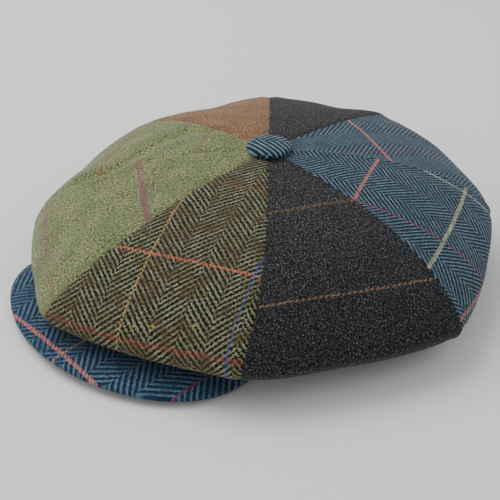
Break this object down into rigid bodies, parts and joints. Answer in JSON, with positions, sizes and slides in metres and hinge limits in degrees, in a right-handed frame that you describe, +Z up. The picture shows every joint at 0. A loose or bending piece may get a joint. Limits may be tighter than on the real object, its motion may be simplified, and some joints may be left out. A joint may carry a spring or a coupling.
{
  "type": "patchwork newsboy cap with a peak",
  "caption": "Soft patchwork tweed cap: wedge panels meet under a covered button, overhang a head band and a stiff peak.",
  "frame": {"origin": "middle of the head opening, level with the lower rim of the head band, which the cap rests on", "axes": "+Z up through the crown, -Y out of the peak (the wearer's front), +X the wearer's left"},
  "size_m": [0.3044, 0.3125, 0.0813],
  "materials": {
    "olive_herringbone": "wool herringbone tweed, matt",
    "charcoal_tweed": "flecked wool tweed, matt",
    "blue_herringbone": "wool herringbone tweed, matt",
    "brown_tweed": "brushed wool tweed, matt",
    "green_tweed": "brushed wool tweed, matt",
    "band_cloth": "plain wool cloth, matt"
  },
  "bodies": {
    "root": {"panel_front_left": "olive_herringbone", "panel_side_left_front": "charcoal_tweed", "panel_side_left_back": "blue_herringbone", "panel_back_left": "blue_herringbone", "panel_back_right": "charcoal_tweed", "panel_side_right_back": "brown_tweed", "panel_side_right_front": "green_tweed", "panel_front_right": "green_tweed", "head_band": "band_cloth", "peak": "blue_herringbone", "crown_button": "blue_herringbone"}
  },
  "joints": []
}
